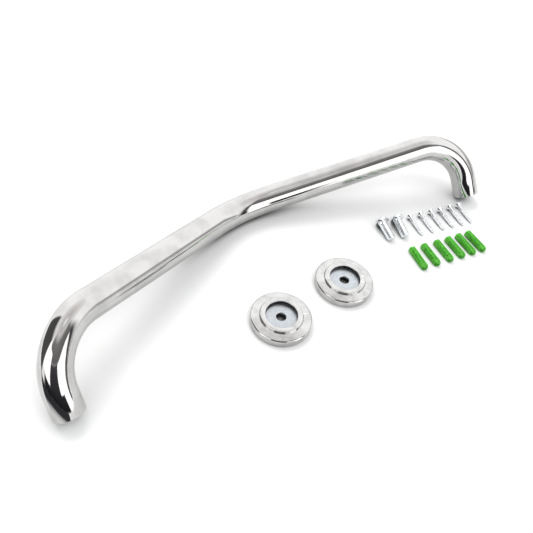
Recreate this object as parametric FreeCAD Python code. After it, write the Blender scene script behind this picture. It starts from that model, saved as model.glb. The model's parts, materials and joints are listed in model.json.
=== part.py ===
"""Wall grab rail kit.

A chrome tube with one turn in its middle and a leg bent down at each end lies on three points.
Its fixing set is laid out in front of it: two wall plates under their covers, two bolts,
six screws and six wall plugs. Lengths are millimetres, angles degrees, +Z is up.
"""
import FreeCAD, Part
import math
import os

V = FreeCAD.Vector
ORIGIN = V(0, 0, 0)
X_AXIS = V(1, 0, 0)
Y_AXIS = V(0, 1, 0)
Z_AXIS = V(0, 0, 1)

# ---- tube ----
TUBE_OD = 25.0
TUBE_WALL = 1.5
RUN = 237.0  # middle corner to leg corner, along the centre lines
MIDDLE_TURN = 41.0  # between one run and the other run's line
MIDDLE_BEND_R = 94.0  # centre-line radii of the bends
LEG_BEND_R = 45.5
RIM_ROUND = 0.5

# ---- threaded insert welded into each leg ----
INSERT_LENGTH = 12.0
INSERT_SETBACK = 0.6  # weld step between the leg's rim and the insert
INSERT_SPARE = 2.9  # straight tube left above the insert
THREAD_HOLE_D = 6.8
THREAD_LEAD_IN = 0.8

# ---- button-head bolt that joins a plate to a leg ----
BOLT_D = 8.0
BOLT_LENGTH = 20.0
BOLT_HEAD_D = 14.0
BOLT_HEAD_H = 4.4
BOLT_CROWN_D = 7.6
BOLT_SOCKET = 5.0  # across flats
BOLT_SOCKET_DEPTH = 2.6
BOLT_POINT = 0.9  # chamfer on the end

# ---- countersunk wood screw ----
SCREW_D = 4.0
SCREW_LENGTH = 25.0
SCREW_HEAD_D = 7.4
SCREW_HEAD_EDGE = 0.5
SCREW_HEAD_CROWN = 0.7
SCREW_POINT = 5.0
SCREW_TIP_D = 0.5
SCREW_SLOT = 1.1
SCREW_SLOT_DEPTH = 1.6
SCREW_SLOT_SPAN = 4.4

# ---- wall plug ----
PLUG_WIDTH = 6.0
PLUG_LENGTH = 26.0
PLUG_CORNER = 1.3
PLUG_BORE_D = 3.0
PLUG_BORE_DEPTH = 20.0
PLUG_MOUTH_BEVEL = 0.5
PLUG_TIP_TAPER = 3.2
PLUG_TIP_WIDTH = 3.6
PLUG_SLIT = 0.8
PLUG_SLIT_LENGTH = 15.0
PLUG_GROOVE = 0.35
PLUG_GROOVE_WIDTH = 0.7
PLUG_GROOVES = 5
PLUG_GROOVE_PITCH = 2.6
PLUG_FIRST_GROOVE = 7.0

# ---- wall plate: a disc with a raised seat that hides the bolt's head ----
PLATE_SHEET = 2.0
SEAT_HEAD_ROOM = 0.1  # under the bolt's head
SEAT_MARGIN = 2.6  # seat outside the tube
SEAT_SLOPE = 1.0  # how far the seat's side leans out
BOLT_HOLE_CLEARANCE = 0.2
BOLT_HOLE_BEVEL = 0.3
SCREW_HOLE_CLEARANCE = 0.25
SCREW_HOLES = 3
SINK_DEPTH = 1.25
HEAD_TO_SEAT = 0.5  # flat sheet between a screw's head and the seat
HEAD_TO_EDGE = 0.6  # and between the head and the plate's edge

# ---- cover: pressed shell with a raised collar round the tube ----
COVER_SHEET = 0.8
COVER_TO_PLATE = 0.6
COVER_TO_TUBE = 1.1
SHOULDER_ROOM = 4.6  # above the plate's flat sheet
COLLAR_ROOM = 2.6  # above the plate's seat
COLLAR_WIDTH = 4.6
COVER_RISE = 0.4  # the shoulder climbs this much towards the collar
COVER_EDGE_R = 1.8
COLLAR_EDGE_R = 1.0
COLLAR_FOOT_R = 1.0

# ---- where the loose pieces lie; X from the rail's middle, Y from its feet's line ----
LEFT_PLATE_AT = V(-42.4, -26.8, 0)
RIGHT_PLATE_AT = V(30.8, -26.3, 0)
PLATE_TURNS = (14.0, 47.0)
BOLT_ROW = dict(at=V(110.8, -0.9, 0), line=-17.3, gaps=(2.4,), headings=(-104.5, -109.3))
SCREW_ROW = dict(
    at=V(143.9, -11.6, 0),
    line=-14.7,
    gaps=(5.5, 5.1, 4.2, 4.7, 3.9),
    headings=(-104.0, -103.0, -103.0, -102.0, -103.0, -103.0),
)
PLUG_ROW = dict(
    at=V(112.5, -43.8, 0),
    line=-13.0,
    gaps=(8.4, 9.4, 8.0, 7.0, 6.3),
    headings=(-106.0, -104.0, -103.0, -102.0, -101.0, -100.0),
)

# ---- worked out from the above ----
TUBE_R = TUBE_OD / 2
TUBE_BORE_R = TUBE_R - TUBE_WALL
HALF_TURN = math.radians(MIDDLE_TURN / 2)
LEG_STRAIGHT = INSERT_SETBACK + INSERT_LENGTH + INSERT_SPARE
LEG = LEG_STRAIGHT + LEG_BEND_R
FOOT_X = RUN * math.cos(HALF_TURN)
FOOT_Y = -RUN * math.sin(HALF_TURN)
MIDDLE_Y = MIDDLE_BEND_R - MIDDLE_BEND_R / math.cos(HALF_TURN)

SEAT_HEIGHT = PLATE_SHEET + BOLT_HEAD_H + SEAT_HEAD_ROOM
SEAT_R = TUBE_R + SEAT_MARGIN
SEAT_BASE_R = SEAT_R + SEAT_SLOPE
SCREW_CIRCLE_R = SEAT_BASE_R + HEAD_TO_SEAT + SCREW_HEAD_D / 2
SCREW_HOLE_R = SCREW_D / 2 + SCREW_HOLE_CLEARANCE
BOLT_HOLE_R = BOLT_D / 2 + BOLT_HOLE_CLEARANCE
PLATE_R = SCREW_CIRCLE_R + SCREW_HEAD_D / 2 + HEAD_TO_EDGE

COVER_R = PLATE_R + COVER_TO_PLATE + COVER_SHEET
COVER_HOLE_R = TUBE_R + COVER_TO_TUBE
COLLAR_R = COVER_HOLE_R + COLLAR_WIDTH
SHOULDER_Z = PLATE_SHEET + SHOULDER_ROOM + COVER_SHEET
COLLAR_Z = SEAT_HEIGHT + COLLAR_ROOM + COVER_SHEET


def turned(points, corners=()):
    """Solid of revolution about Z from an outline in radius and height; corners are rounded in order."""
    path = [V(r, 0, z) for r, z in points]
    rounding = dict(corners)
    edges = []
    first = last = None
    for i, p in enumerate(path):
        before, after = path[i - 1], path[(i + 1) % len(path)]
        radius = rounding.get(i, 0.0)
        start = end = p
        if radius:
            u = (before - p).normalize()
            w = (after - p).normalize()
            half = u.getAngle(w) / 2
            reach = radius / math.tan(half)
            start, end = p + u * reach, p + w * reach
            bulge = (u + w).normalize() * (radius / math.sin(half) - radius)
            arc = Part.Arc(start, p + bulge, end).toShape()
        if last is not None:
            edges.append(Part.makeLine(last, start))
        if radius:
            edges.append(arc)
        first = first or start
        last = end
    edges.append(Part.makeLine(last, first))
    face = Part.Face(Part.Wire(edges))
    return face.revolve(ORIGIN, Z_AXIS, 360)


def ring(centre, normal, outer, inner):
    """Flat ring, the tube's cross-section."""
    rims = [Part.Wire(Part.makeCircle(r, centre, normal)) for r in (outer, inner)]
    return Part.Face(rims[0]).cut(Part.Face(rims[1])).Faces[0]


def tube():
    """Tube along its centre line: straight stretches joined by round bends, in the rail's own plane."""
    corners = [
        V(-FOOT_X, FOOT_Y, -LEG),
        V(-FOOT_X, FOOT_Y, 0),
        ORIGIN,
        V(FOOT_X, FOOT_Y, 0),
        V(FOOT_X, FOOT_Y, -LEG),
    ]
    radii = [0, LEG_BEND_R, MIDDLE_BEND_R, LEG_BEND_R, 0]
    stretches = []
    start = corners[0]
    for i in range(1, len(corners)):
        along = (corners[i] - corners[i - 1]).normalize()
        if i == len(corners) - 1:
            stretches.append(ring(start, along, TUBE_R, TUBE_BORE_R).extrude(corners[i] - start))
            break
        onward = (corners[i + 1] - corners[i]).normalize()
        turn = along.getAngle(onward)
        bend_start = corners[i] - along * (radii[i] * math.tan(turn / 2))
        stretches.append(ring(start, along, TUBE_R, TUBE_BORE_R).extrude(bend_start - start))
        axis = along.cross(onward).normalize()
        centre = bend_start + axis.cross(along) * radii[i]
        section = ring(bend_start, along, TUBE_R, TUBE_BORE_R)
        stretches.append(section.revolve(centre, axis, math.degrees(turn)))
        start = corners[i] + onward * (radii[i] * math.tan(turn / 2))
    body = stretches[0].fuse(stretches[1:]).removeSplitter()
    rims = [
        e
        for e in body.Edges
        if abs(e.BoundBox.ZMax + LEG) < 0.01 and abs(e.BoundBox.XLength - TUBE_OD) < 0.1
    ]
    return body.makeFillet(RIM_ROUND, rims).Solids[0]


def insert(side):
    """Plug welded inside a leg's end, threaded right through for the bolt."""
    bottom = V(side * FOOT_X, FOOT_Y, -LEG + INSERT_SETBACK)
    hole_r = THREAD_HOLE_D / 2
    mouth_r = hole_r + THREAD_LEAD_IN
    profile = [
        (hole_r, THREAD_LEAD_IN),
        (mouth_r, 0),
        (TUBE_BORE_R, 0),
        (TUBE_BORE_R, INSERT_LENGTH),
        (hole_r, INSERT_LENGTH),
    ]
    body = turned(profile)
    body.translate(bottom)
    return body


def rest_tilt():
    """Angle by which the rail leans forward when its two rims and its middle bend touch the surface."""
    rim_y = FOOT_Y + TUBE_R - RIM_ROUND
    rim_z = -LEG + RIM_ROUND
    dy, dz = MIDDLE_Y - rim_y, -rim_z
    return math.atan2(dz, dy) - math.asin((TUBE_R - RIM_ROUND) / math.hypot(dy, dz))


def lay_rail(shape):
    """Lean a piece of the rail forward and stand it on the surface, its rims touching along Y = 0."""
    tilt = rest_tilt()
    rim = V(0, FOOT_Y + TUBE_R - RIM_ROUND, -LEG + RIM_ROUND)
    shape.translate(-rim)
    shape.rotate(ORIGIN, X_AXIS, -math.degrees(tilt))
    shape.translate(V(0, 0, RIM_ROUND))
    return shape


def plate():
    """Disc with a raised seat for the tube, a bolt hole through the seat and a ring of screw holes."""
    slope = math.atan2(SEAT_SLOPE, SEAT_HEIGHT - PLATE_SHEET)
    inset = PLATE_SHEET / math.cos(slope) - PLATE_SHEET * math.tan(slope)
    profile = [
        (BOLT_HOLE_R, SEAT_HEIGHT - PLATE_SHEET),
        (SEAT_R - inset, SEAT_HEIGHT - PLATE_SHEET),
        (SEAT_BASE_R - inset + math.tan(slope) * PLATE_SHEET, 0),
        (PLATE_R, 0),
        (PLATE_R, PLATE_SHEET),
        (SEAT_BASE_R, PLATE_SHEET),
        (SEAT_R, SEAT_HEIGHT),
        (BOLT_HOLE_R + BOLT_HOLE_BEVEL, SEAT_HEIGHT),
        (BOLT_HOLE_R, SEAT_HEIGHT - BOLT_HOLE_BEVEL),
    ]
    body = turned(profile, {4: 0.5, 6: 0.6})
    for i in range(SCREW_HOLES):
        at = V(SCREW_CIRCLE_R, 0, 0)
        hole = Part.makeCylinder(SCREW_HOLE_R, 3 * PLATE_SHEET, at - Z_AXIS * PLATE_SHEET)
        sink_bottom = at + Z_AXIS * (PLATE_SHEET - SINK_DEPTH)
        sink = Part.makeCone(SCREW_HOLE_R, SCREW_HOLE_R + 2 * SINK_DEPTH, 2 * SINK_DEPTH, sink_bottom)
        for cutter in (hole, sink):
            cutter.rotate(ORIGIN, Z_AXIS, i * 360 / SCREW_HOLES)
            body = body.cut(cutter)
    return body.Solids[0]


def cover():
    """Pressed shell: outer wall, shoulder, and a collar with the tube's hole."""
    t = COVER_SHEET
    rise = SHOULDER_Z + COVER_RISE
    profile = [
        (COVER_R - t, 0),
        (COVER_R, 0),
        (COVER_R, SHOULDER_Z),
        (COLLAR_R, rise),
        (COLLAR_R, COLLAR_Z),
        (COVER_HOLE_R, COLLAR_Z),
        (COVER_HOLE_R, COLLAR_Z - t),
        (COLLAR_R - t, COLLAR_Z - t),
        (COLLAR_R - t, rise - t),
        (COVER_R - t, SHOULDER_Z - t),
    ]
    rounds = {
        1: 0.3,
        2: COVER_EDGE_R,
        3: COLLAR_FOOT_R,
        4: COLLAR_EDGE_R,
        5: 0.3,
        7: COLLAR_EDGE_R - t / 2,
        8: COLLAR_FOOT_R + t / 2,
        9: COVER_EDGE_R - t / 2,
    }
    return turned(profile, rounds)


def bolt():
    """Button-head bolt along +Z, the head's crown at Z = 0."""
    crown_z = math.sqrt(1 - (BOLT_CROWN_D / BOLT_HEAD_D) ** 2) * BOLT_HEAD_H
    rim_r = BOLT_HEAD_D / 2
    end = BOLT_HEAD_H + BOLT_LENGTH
    side = Part.Arc(
        V(BOLT_CROWN_D / 2, 0, 0),
        V(rim_r * 0.86, 0, BOLT_HEAD_H - crown_z * 0.62),
        V(rim_r, 0, BOLT_HEAD_H - 0.4),
    )
    outline = [
        V(rim_r, 0, BOLT_HEAD_H - 0.4),
        V(rim_r, 0, BOLT_HEAD_H),
        V(BOLT_D / 2, 0, BOLT_HEAD_H),
        V(BOLT_D / 2, 0, end - BOLT_POINT),
        V(BOLT_D / 2 - BOLT_POINT, 0, end),
        V(0, 0, end),
        ORIGIN,
        V(BOLT_CROWN_D / 2, 0, 0),
    ]
    edges = [side.toShape()] + Part.makePolygon(outline).Edges
    body = Part.Face(Part.Wire(edges)).revolve(ORIGIN, Z_AXIS, 360)
    corner_r = BOLT_SOCKET / math.sqrt(3)
    hexagon = [
        V(corner_r * math.cos(k * math.pi / 3), corner_r * math.sin(k * math.pi / 3), 0) for k in range(7)
    ]
    socket = Part.Face(Part.makePolygon(hexagon)).extrude(Z_AXIS * BOLT_SOCKET_DEPTH)
    return body.cut(socket).Solids[0]


def screw():
    """Countersunk wood screw along +Z, the head's crown at Z = 0, with a cross slot."""
    head_r = SCREW_HEAD_D / 2
    flat_z = SCREW_HEAD_CROWN
    edge_z = flat_z + SCREW_HEAD_EDGE
    neck_z = edge_z + head_r - SCREW_D / 2
    end = flat_z + SCREW_LENGTH
    profile = [
        V(head_r, 0, flat_z),
        V(head_r, 0, edge_z),
        V(SCREW_D / 2, 0, neck_z),
        V(SCREW_D / 2, 0, end - SCREW_POINT),
        V(SCREW_TIP_D / 2, 0, end),
        V(0, 0, end),
        ORIGIN,
    ]
    crown_r = (head_r**2 + flat_z**2) / (2 * flat_z)
    half_angle = math.asin(head_r / crown_r) / 2
    middle = V(crown_r * math.sin(half_angle), 0, crown_r * (1 - math.cos(half_angle)))
    crown = Part.Arc(ORIGIN, middle, V(head_r, 0, flat_z)).toShape()
    body = Part.Face(Part.Wire([crown] + Part.makePolygon(profile).Edges)).revolve(ORIGIN, Z_AXIS, 360)
    for span, width in ((SCREW_SLOT_SPAN, SCREW_SLOT), (SCREW_SLOT, SCREW_SLOT_SPAN)):
        corner = V(-span / 2, -width / 2, -flat_z)
        body = body.cut(Part.makeBox(span, width, flat_z + SCREW_SLOT_DEPTH, corner))
    return body.Solids[0]


def square(width, corner, z):
    """Square outline with cut corners, at a height."""
    h, k = width / 2, width / 2 - corner
    loop = [(h, -k), (h, k), (k, h), (-k, h), (-h, k), (-h, -k), (-k, -h), (k, -h), (h, -k)]
    return Part.makePolygon([V(x, y, z) for x, y in loop])


def plug():
    """Wall plug along +Z, its mouth at Z = 0: a grooved square body, bored, with a slit tapered tip."""
    shoulder = PLUG_LENGTH - PLUG_TIP_TAPER
    mouth_width = PLUG_WIDTH - 2 * PLUG_MOUTH_BEVEL
    tip_corner = PLUG_CORNER * PLUG_TIP_WIDTH / PLUG_WIDTH
    sections = [
        square(mouth_width, PLUG_CORNER * mouth_width / PLUG_WIDTH, 0),
        square(PLUG_WIDTH, PLUG_CORNER, PLUG_MOUTH_BEVEL),
        square(PLUG_WIDTH, PLUG_CORNER, shoulder),
        square(PLUG_TIP_WIDTH, tip_corner, PLUG_LENGTH),
    ]
    body = Part.makeLoft(sections, True, True)
    body = body.cut(Part.makeCylinder(PLUG_BORE_D / 2, PLUG_BORE_DEPTH))
    slit_z = PLUG_LENGTH - PLUG_SLIT_LENGTH
    slit = Part.makeBox(2 * PLUG_WIDTH, PLUG_SLIT, PLUG_SLIT_LENGTH * 2, V(-PLUG_WIDTH, -PLUG_SLIT / 2, slit_z))
    body = body.cut(slit)
    reach = PLUG_WIDTH / 2 - PLUG_GROOVE
    for i in range(PLUG_GROOVES):
        z = PLUG_FIRST_GROOVE + i * PLUG_GROOVE_PITCH
        for side in (-1, 1):
            y = reach if side > 0 else -reach - PLUG_WIDTH
            groove = Part.makeBox(PLUG_WIDTH, PLUG_WIDTH, PLUG_GROOVE_WIDTH, V(-PLUG_WIDTH / 2, y, z))
            body = body.cut(groove)
    return body.Solids[0]


def lie(shape, length, at, heading, rim, toe):
    """Lay a piece made along +Z on the surface: rim and toe, each (distance, radius), touch it."""
    dip = math.atan2(rim[1] - toe[1], toe[0] - rim[0])
    height = rim[0] * math.sin(dip) + rim[1] * math.cos(dip)
    laid = shape.copy()
    laid.rotate(ORIGIN, Y_AXIS, 90 + math.degrees(dip))
    laid.rotate(ORIGIN, Z_AXIS, heading)
    back = length / 2 * math.cos(dip)
    turn = math.radians(heading)
    laid.translate(V(at.x - back * math.cos(turn), at.y - back * math.sin(turn), height))
    return laid


def row_places(row, width):
    """Middles of the pieces in a row: each gap is the clear space between two neighbours."""
    line = math.radians(row["line"])
    step = V(math.cos(line), math.sin(line), 0)
    places = [row["at"]]
    for gap in row["gaps"]:
        places.append(places[-1] + step * (width + gap))
    return zip(places, row["headings"])


def build():
    """Every piece by its name, laid out as the kit lies."""
    pieces = {"rail_tube": lay_rail(tube())}
    for side, name in ((-1, "left"), (1, "right")):
        pieces[name + "_insert"] = lay_rail(insert(side))
    spots = (("left", LEFT_PLATE_AT, PLATE_TURNS[0]), ("right", RIGHT_PLATE_AT, PLATE_TURNS[1]))
    for name, at, turn in spots:
        for kind, shape in (("_wall_plate", plate()), ("_cover", cover())):
            shape.rotate(ORIGIN, Z_AXIS, turn)
            shape.translate(at)
            pieces[name + kind] = shape

    bolt_end = BOLT_HEAD_H + BOLT_LENGTH
    bolt_rim = (BOLT_HEAD_H, BOLT_HEAD_D / 2)
    bolt_toe = (bolt_end - BOLT_POINT, BOLT_D / 2)
    for i, (at, heading) in enumerate(row_places(BOLT_ROW, BOLT_HEAD_D), 1):
        pieces["bolt_%d" % i] = lie(bolt(), bolt_end, at, heading, bolt_rim, bolt_toe)

    screw_end = SCREW_HEAD_CROWN + SCREW_LENGTH
    screw_rim = (SCREW_HEAD_CROWN + SCREW_HEAD_EDGE, SCREW_HEAD_D / 2)
    screw_toe = (screw_end - SCREW_POINT, SCREW_D / 2)
    for i, (at, heading) in enumerate(row_places(SCREW_ROW, SCREW_HEAD_D), 1):
        pieces["screw_%d" % i] = lie(screw(), screw_end, at, heading, screw_rim, screw_toe)

    plug_rim = (PLUG_MOUTH_BEVEL, PLUG_WIDTH / 2)
    plug_toe = (PLUG_LENGTH - PLUG_TIP_TAPER, PLUG_WIDTH / 2)
    for i, (at, heading) in enumerate(row_places(PLUG_ROW, PLUG_WIDTH), 1):
        pieces["wall_plug_%d" % i] = lie(plug(), PLUG_LENGTH, at, heading, plug_rim, plug_toe)
    return pieces


def centre_on_footprint(pieces):
    """Move everything so that the origin is the middle of the kit's footprint, on the surface."""
    box = Part.makeCompound(list(pieces.values())).optimalBoundingBox()
    shift = V(-(box.XMin + box.XMax) / 2, -(box.YMin + box.YMax) / 2, 0)
    for shape in pieces.values():
        shape.translate(shift)
    return shift


pieces = build()
shift = centre_on_footprint(pieces)
os.makedirs("parts", exist_ok=True)
for name, shape in pieces.items():
    shape.exportStep("parts/%s.step" % name)
print("rest tilt %.3f degrees, shift (%.3f, %.3f)" % (math.degrees(rest_tilt()), shift.x, shift.y))
for name, shape in pieces.items():
    box = shape.optimalBoundingBox()
    print("%-18s solids %d valid %s volume %.1f z %.3f to %.3f" % (
        name, len(shape.Solids), shape.isValid(), shape.Volume, box.ZMin, box.ZMax))
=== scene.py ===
"""Looks of the grab rail kit: polished tube, covers, zinc plates and fixings, green wall plugs. Metres."""

import json
import math

import bpy
from mathutils import Matrix, Vector


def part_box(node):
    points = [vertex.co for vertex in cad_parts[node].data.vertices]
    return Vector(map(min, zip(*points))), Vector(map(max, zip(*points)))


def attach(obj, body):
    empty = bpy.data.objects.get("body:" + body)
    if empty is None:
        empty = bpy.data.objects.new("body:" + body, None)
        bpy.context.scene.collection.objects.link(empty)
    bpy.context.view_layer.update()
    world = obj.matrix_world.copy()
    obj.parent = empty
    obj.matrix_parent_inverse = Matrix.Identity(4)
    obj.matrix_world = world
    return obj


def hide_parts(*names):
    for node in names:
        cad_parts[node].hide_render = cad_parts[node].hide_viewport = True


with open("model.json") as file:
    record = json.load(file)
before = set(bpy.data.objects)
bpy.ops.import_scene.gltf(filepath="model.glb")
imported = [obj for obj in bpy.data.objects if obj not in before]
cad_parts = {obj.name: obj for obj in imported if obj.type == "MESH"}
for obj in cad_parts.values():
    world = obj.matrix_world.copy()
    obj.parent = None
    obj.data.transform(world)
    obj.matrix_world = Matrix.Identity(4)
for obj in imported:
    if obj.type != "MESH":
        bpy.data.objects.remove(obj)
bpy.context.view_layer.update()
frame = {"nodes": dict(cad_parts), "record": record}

MM = 0.001
TURN = 2 * math.pi
MOUNTS = {m["name"]: m for m in frame["record"]["mounts"]}

# ---- sizes shared with the CAD, metres ----
TUBE_R = 12.5 * MM
TUBE_WALL = 1.5 * MM
TUBE_RIM = 0.5 * MM
TUBE_SIDES = 128
RUN = 237.0 * MM
MIDDLE_TURN = math.radians(41.0)
MIDDLE_BEND_R = 94.0 * MM
LEG_BEND_R = 45.5 * MM
LEG_STRAIGHT = 15.5 * MM
LEG_BEND_STEPS = 40
MIDDLE_BEND_STEPS = 28
THREAD_MOUTH = 1.4 * MM  # leg's end to the thread's first turn

PLATE_R = 24.6 * MM
PLATE_SHEET = 2.0 * MM
SEAT_HEIGHT = 6.5 * MM
SEAT_R = 15.1 * MM
SEAT_BASE_R = 16.1 * MM
BOLT_HOLE_R = 4.2 * MM
BOLT_HOLE_BEVEL = 0.3 * MM
PLATE_SCREWS = 3
SCREW_CIRCLE_R = 20.3 * MM
SCREW_HOLE_R = 2.25 * MM
SCREW_SINK_R = 3.5 * MM
PLATE_TURNS = {"left": 14.0, "right": 47.0}

COVER_R = 26.0 * MM
COVER_SHEET = 0.8 * MM
COVER_HOLE_R = 13.6 * MM
COLLAR_R = 18.2 * MM
SHOULDER_Z = 7.4 * MM
SHOULDER_RISE = 0.4 * MM
COLLAR_Z = 9.9 * MM

BOLT_R = 4.0 * MM
BOLT_LENGTH = 20.0 * MM
BOLT_HEAD_R = 7.0 * MM
BOLT_HEAD_H = 4.4 * MM
BOLT_RIM = 0.4 * MM
BOLT_CROWN_R = 3.8 * MM
BOLT_SOCKET = 6.0 * MM
BOLT_SOCKET_DEPTH = 3.4 * MM
BOLT_PITCH = 1.25 * MM
BOLT_FILLET = 0.3 * MM
BOLT_NECK = 1.2 * MM
BOLT_RUNOUT = 0.7 * MM  # from the plain neck down to the core
BOLT_THREAD_GAP = 0.1 * MM  # neck's end to the thread's first turn
BOLT_CORE_R = BOLT_R - 0.38 * MM
BOLT_THREAD_DEPTH = 0.42 * MM  # a little past the core, so that the thread is rooted in it
BOLT_TIP_EDGE = (0.4 * MM, 0.3 * MM)  # across, along
BOLT_POINT = 0.9 * MM
BOLT_HEADINGS = (-104.5, -109.3)

SCREW_R = 2.0 * MM
SCREW_NECK_R = SCREW_R * 0.8
SCREW_CORE_R = SCREW_R * 0.82
SCREW_THREAD_DEPTH = SCREW_R * 0.20
SCREW_LENGTH = 25.0 * MM
SCREW_NECK = 4.0 * MM
SCREW_RUNOUT = 0.6 * MM  # from the plain neck to the core
SCREW_THREAD_GAP = 0.2 * MM  # neck's end to the thread's first turn
SCREW_THREAD_STOP = 1.0 * MM  # least distance from the last turn to the tip
SCREW_HEAD_R = 3.7 * MM
SCREW_HEAD_EDGE = 0.5 * MM
SCREW_CROWN = 0.7 * MM
SCREW_POINT = 5.0 * MM
SCREW_TIP_R = 0.4 * MM
SCREW_BLUNT = (0.9 * MM, 0.35 * MM)  # radius, and distance from the tip, where the point turns blunt
SCREW_PITCH = 1.5 * MM
SCREW_POINT_SHRINK = 0.38  # share of its radius that the thread loses at the tip
SCREW_SLOT = 1.1 * MM
SCREW_SLOT_SPAN = 4.4 * MM
SCREW_SLOT_DEPTH = 1.6 * MM
SCREW_HEADINGS = (-104.0, -103.0, -103.0, -102.0, -103.0, -103.0)

PLUG_WIDTH = 6.0 * MM
PLUG_LENGTH = 26.0 * MM
PLUG_CORNER = 1.04 * MM
PLUG_END_EDGE = 0.25 * MM
PLUG_MOUTH_EDGE = 0.5 * MM
PLUG_BORE_R = 1.5 * MM
PLUG_BORE_DEPTH = 20.0 * MM
PLUG_TIP_TAPER = 2.6 * MM
PLUG_TIP_WIDTH = 4.3 * MM
PLUG_SLIT = 0.5 * MM
PLUG_NOTCH = 2.2 * MM
PLUG_NOTCH_WIDTH = 1.3 * MM
PLUG_WIDE_GROOVES = (0.35 * MM, 0.7 * MM, 7.35 * MM, 2.6 * MM, 5)  # depth, width, first, pitch, count
PLUG_FINE_GROOVES = (0.18 * MM, 0.45 * MM, 2.6 * MM, 1.5 * MM, 13)
PLUG_SLIT_LENGTH = 15.0 * MM
PLUG_HEADINGS = (-106.0, -104.0, -103.0, -102.0, -101.0, -100.0)

CROWN_STEPS = 6
TOOTH_SHARES = (0.42, 0.56, 0.98)  # of a thread's pitch: crest begins, crest ends, root begins
DOUBLE = 0.002 * MM  # points nearer than this are one
NEARBY = 0.1 * MM  # reach when faces and edges are picked by place


# ---------------------------------------------------------------- modelling tools
def deselect():
    """Nothing selected, object mode."""
    if bpy.context.object and bpy.context.object.mode != "OBJECT":
        bpy.ops.object.mode_set(mode="OBJECT")
    bpy.ops.object.select_all(action="DESELECT")


def start(name):
    """Name the primitive just added and go into edit mode with all of it selected."""
    piece = bpy.context.object
    piece.name = name
    piece.data.name = name
    bpy.ops.object.mode_set(mode="EDIT")
    bpy.ops.mesh.select_all(action="SELECT")
    return piece


def done(piece, smooth=30.0):
    """Leave edit mode; merge doubles, point faces outwards and shade smooth below an angle."""
    bpy.ops.object.mode_set(mode="EDIT")
    bpy.ops.mesh.select_all(action="SELECT")
    bpy.ops.mesh.remove_doubles(threshold=DOUBLE)
    bpy.ops.mesh.normals_make_consistent(inside=False)
    bpy.ops.object.mode_set(mode="OBJECT")
    bpy.ops.object.shade_smooth_by_angle(angle=math.radians(smooth))
    return piece


def pick(piece, wanted, kind="VERT"):
    """Select, in edit mode, the vertices, edges or faces whose middle passes the test."""
    bpy.ops.mesh.select_all(action="DESELECT")
    bpy.ops.mesh.select_mode(type=kind)
    bpy.ops.object.mode_set(mode="OBJECT")
    data = piece.data
    if kind == "VERT":
        for v in data.vertices:
            v.select = wanted(v.co)
    elif kind == "EDGE":
        for e in data.edges:
            a, b = (data.vertices[i].co for i in e.vertices)
            e.select = wanted((a + b) / 2)
    else:
        for f in data.polygons:
            f.select = wanted(f.center)
    bpy.ops.object.mode_set(mode="EDIT")


def modify(piece, kind, **settings):
    """Add a modifier and apply it."""
    deselect()
    piece.select_set(True)
    bpy.context.view_layer.objects.active = piece
    modifier = piece.modifiers.new(kind.lower(), kind)
    for key, value in settings.items():
        setattr(modifier, key, value)
    bpy.ops.object.modifier_apply(modifier=modifier.name)


def cut(piece, cutter):
    """Subtract a cutter from a piece and delete the cutter."""
    modify(piece, "BOOLEAN", operation="DIFFERENCE", solver="EXACT", object=cutter)
    bpy.data.objects.remove(cutter)


def settle(piece, matrix):
    """Put a piece in its place and apply the place to its mesh."""
    deselect()
    piece.select_set(True)
    bpy.context.view_layer.objects.active = piece
    piece.matrix_world = matrix
    bpy.ops.object.transform_apply(location=True, rotation=True, scale=True)
    return piece


def copy(piece, name):
    """A copy with its own mesh."""
    twin = piece.copy()
    twin.data = piece.data.copy()
    twin.name = name
    twin.data.name = name
    bpy.context.scene.collection.objects.link(twin)
    return twin


def rounded(points, radii, closed=True, steps=6):
    """Outline in (radius, height) with the listed corners rounded by arcs."""
    out = []
    count = len(points)
    for i, p in enumerate(points):
        p = Vector(p)
        radius = radii.get(i, 0.0)
        if not radius or (not closed and i in (0, count - 1)):
            out.append(tuple(p))
            continue
        u = (Vector(points[i - 1]) - p).normalized()
        w = (Vector(points[(i + 1) % count]) - p).normalized()
        half = u.angle(w) / 2
        centre = p + (u + w).normalized() * (radius / math.sin(half))
        begin = p + u * (radius / math.tan(half)) - centre
        end = p + w * (radius / math.tan(half)) - centre
        sweep = begin.angle_signed(end)
        for k in range(steps + 1):
            a = -sweep * k / steps
            turned = Vector((
                begin.x * math.cos(a) - begin.y * math.sin(a),
                begin.x * math.sin(a) + begin.y * math.cos(a),
            ))
            out.append(tuple(centre + turned))
    return out


def turn_up(name, outline, closed=True, sides=96):
    """Body of revolution about Z: a ring drawn out and resized from each outline point to the next."""
    deselect()
    first = outline[0]
    bpy.ops.mesh.primitive_circle_add(vertices=sides, radius=max(first[0], 1e-6), location=(0, 0, first[1]))
    bpy.ops.object.transform_apply(location=True)
    piece = start(name)
    before = first
    for point in outline[1:] + ([first] if closed else []):
        bpy.ops.mesh.extrude_edges_move(TRANSFORM_OT_translate={"value": (0, 0, point[1] - before[1])})
        scale = max(point[0], 1e-6) / max(before[0], 1e-6)
        bpy.ops.transform.resize(value=(scale, scale, 1), center_override=(0, 0, point[1]))
        before = (max(point[0], 1e-6), point[1])
    return done(piece)


def one_point(name, at):
    """A mesh of one point, in edit mode, to be extruded or spun."""
    deselect()
    bpy.ops.mesh.primitive_plane_add(size=2)
    piece = start(name)
    pick(piece, lambda p: p.x < 0 or p.y < 0)
    bpy.ops.mesh.delete(type="VERT")
    bpy.ops.mesh.select_all(action="SELECT")
    bpy.ops.transform.translate(value=Vector(at) - Vector((1, 1, 0)))
    return piece


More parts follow.
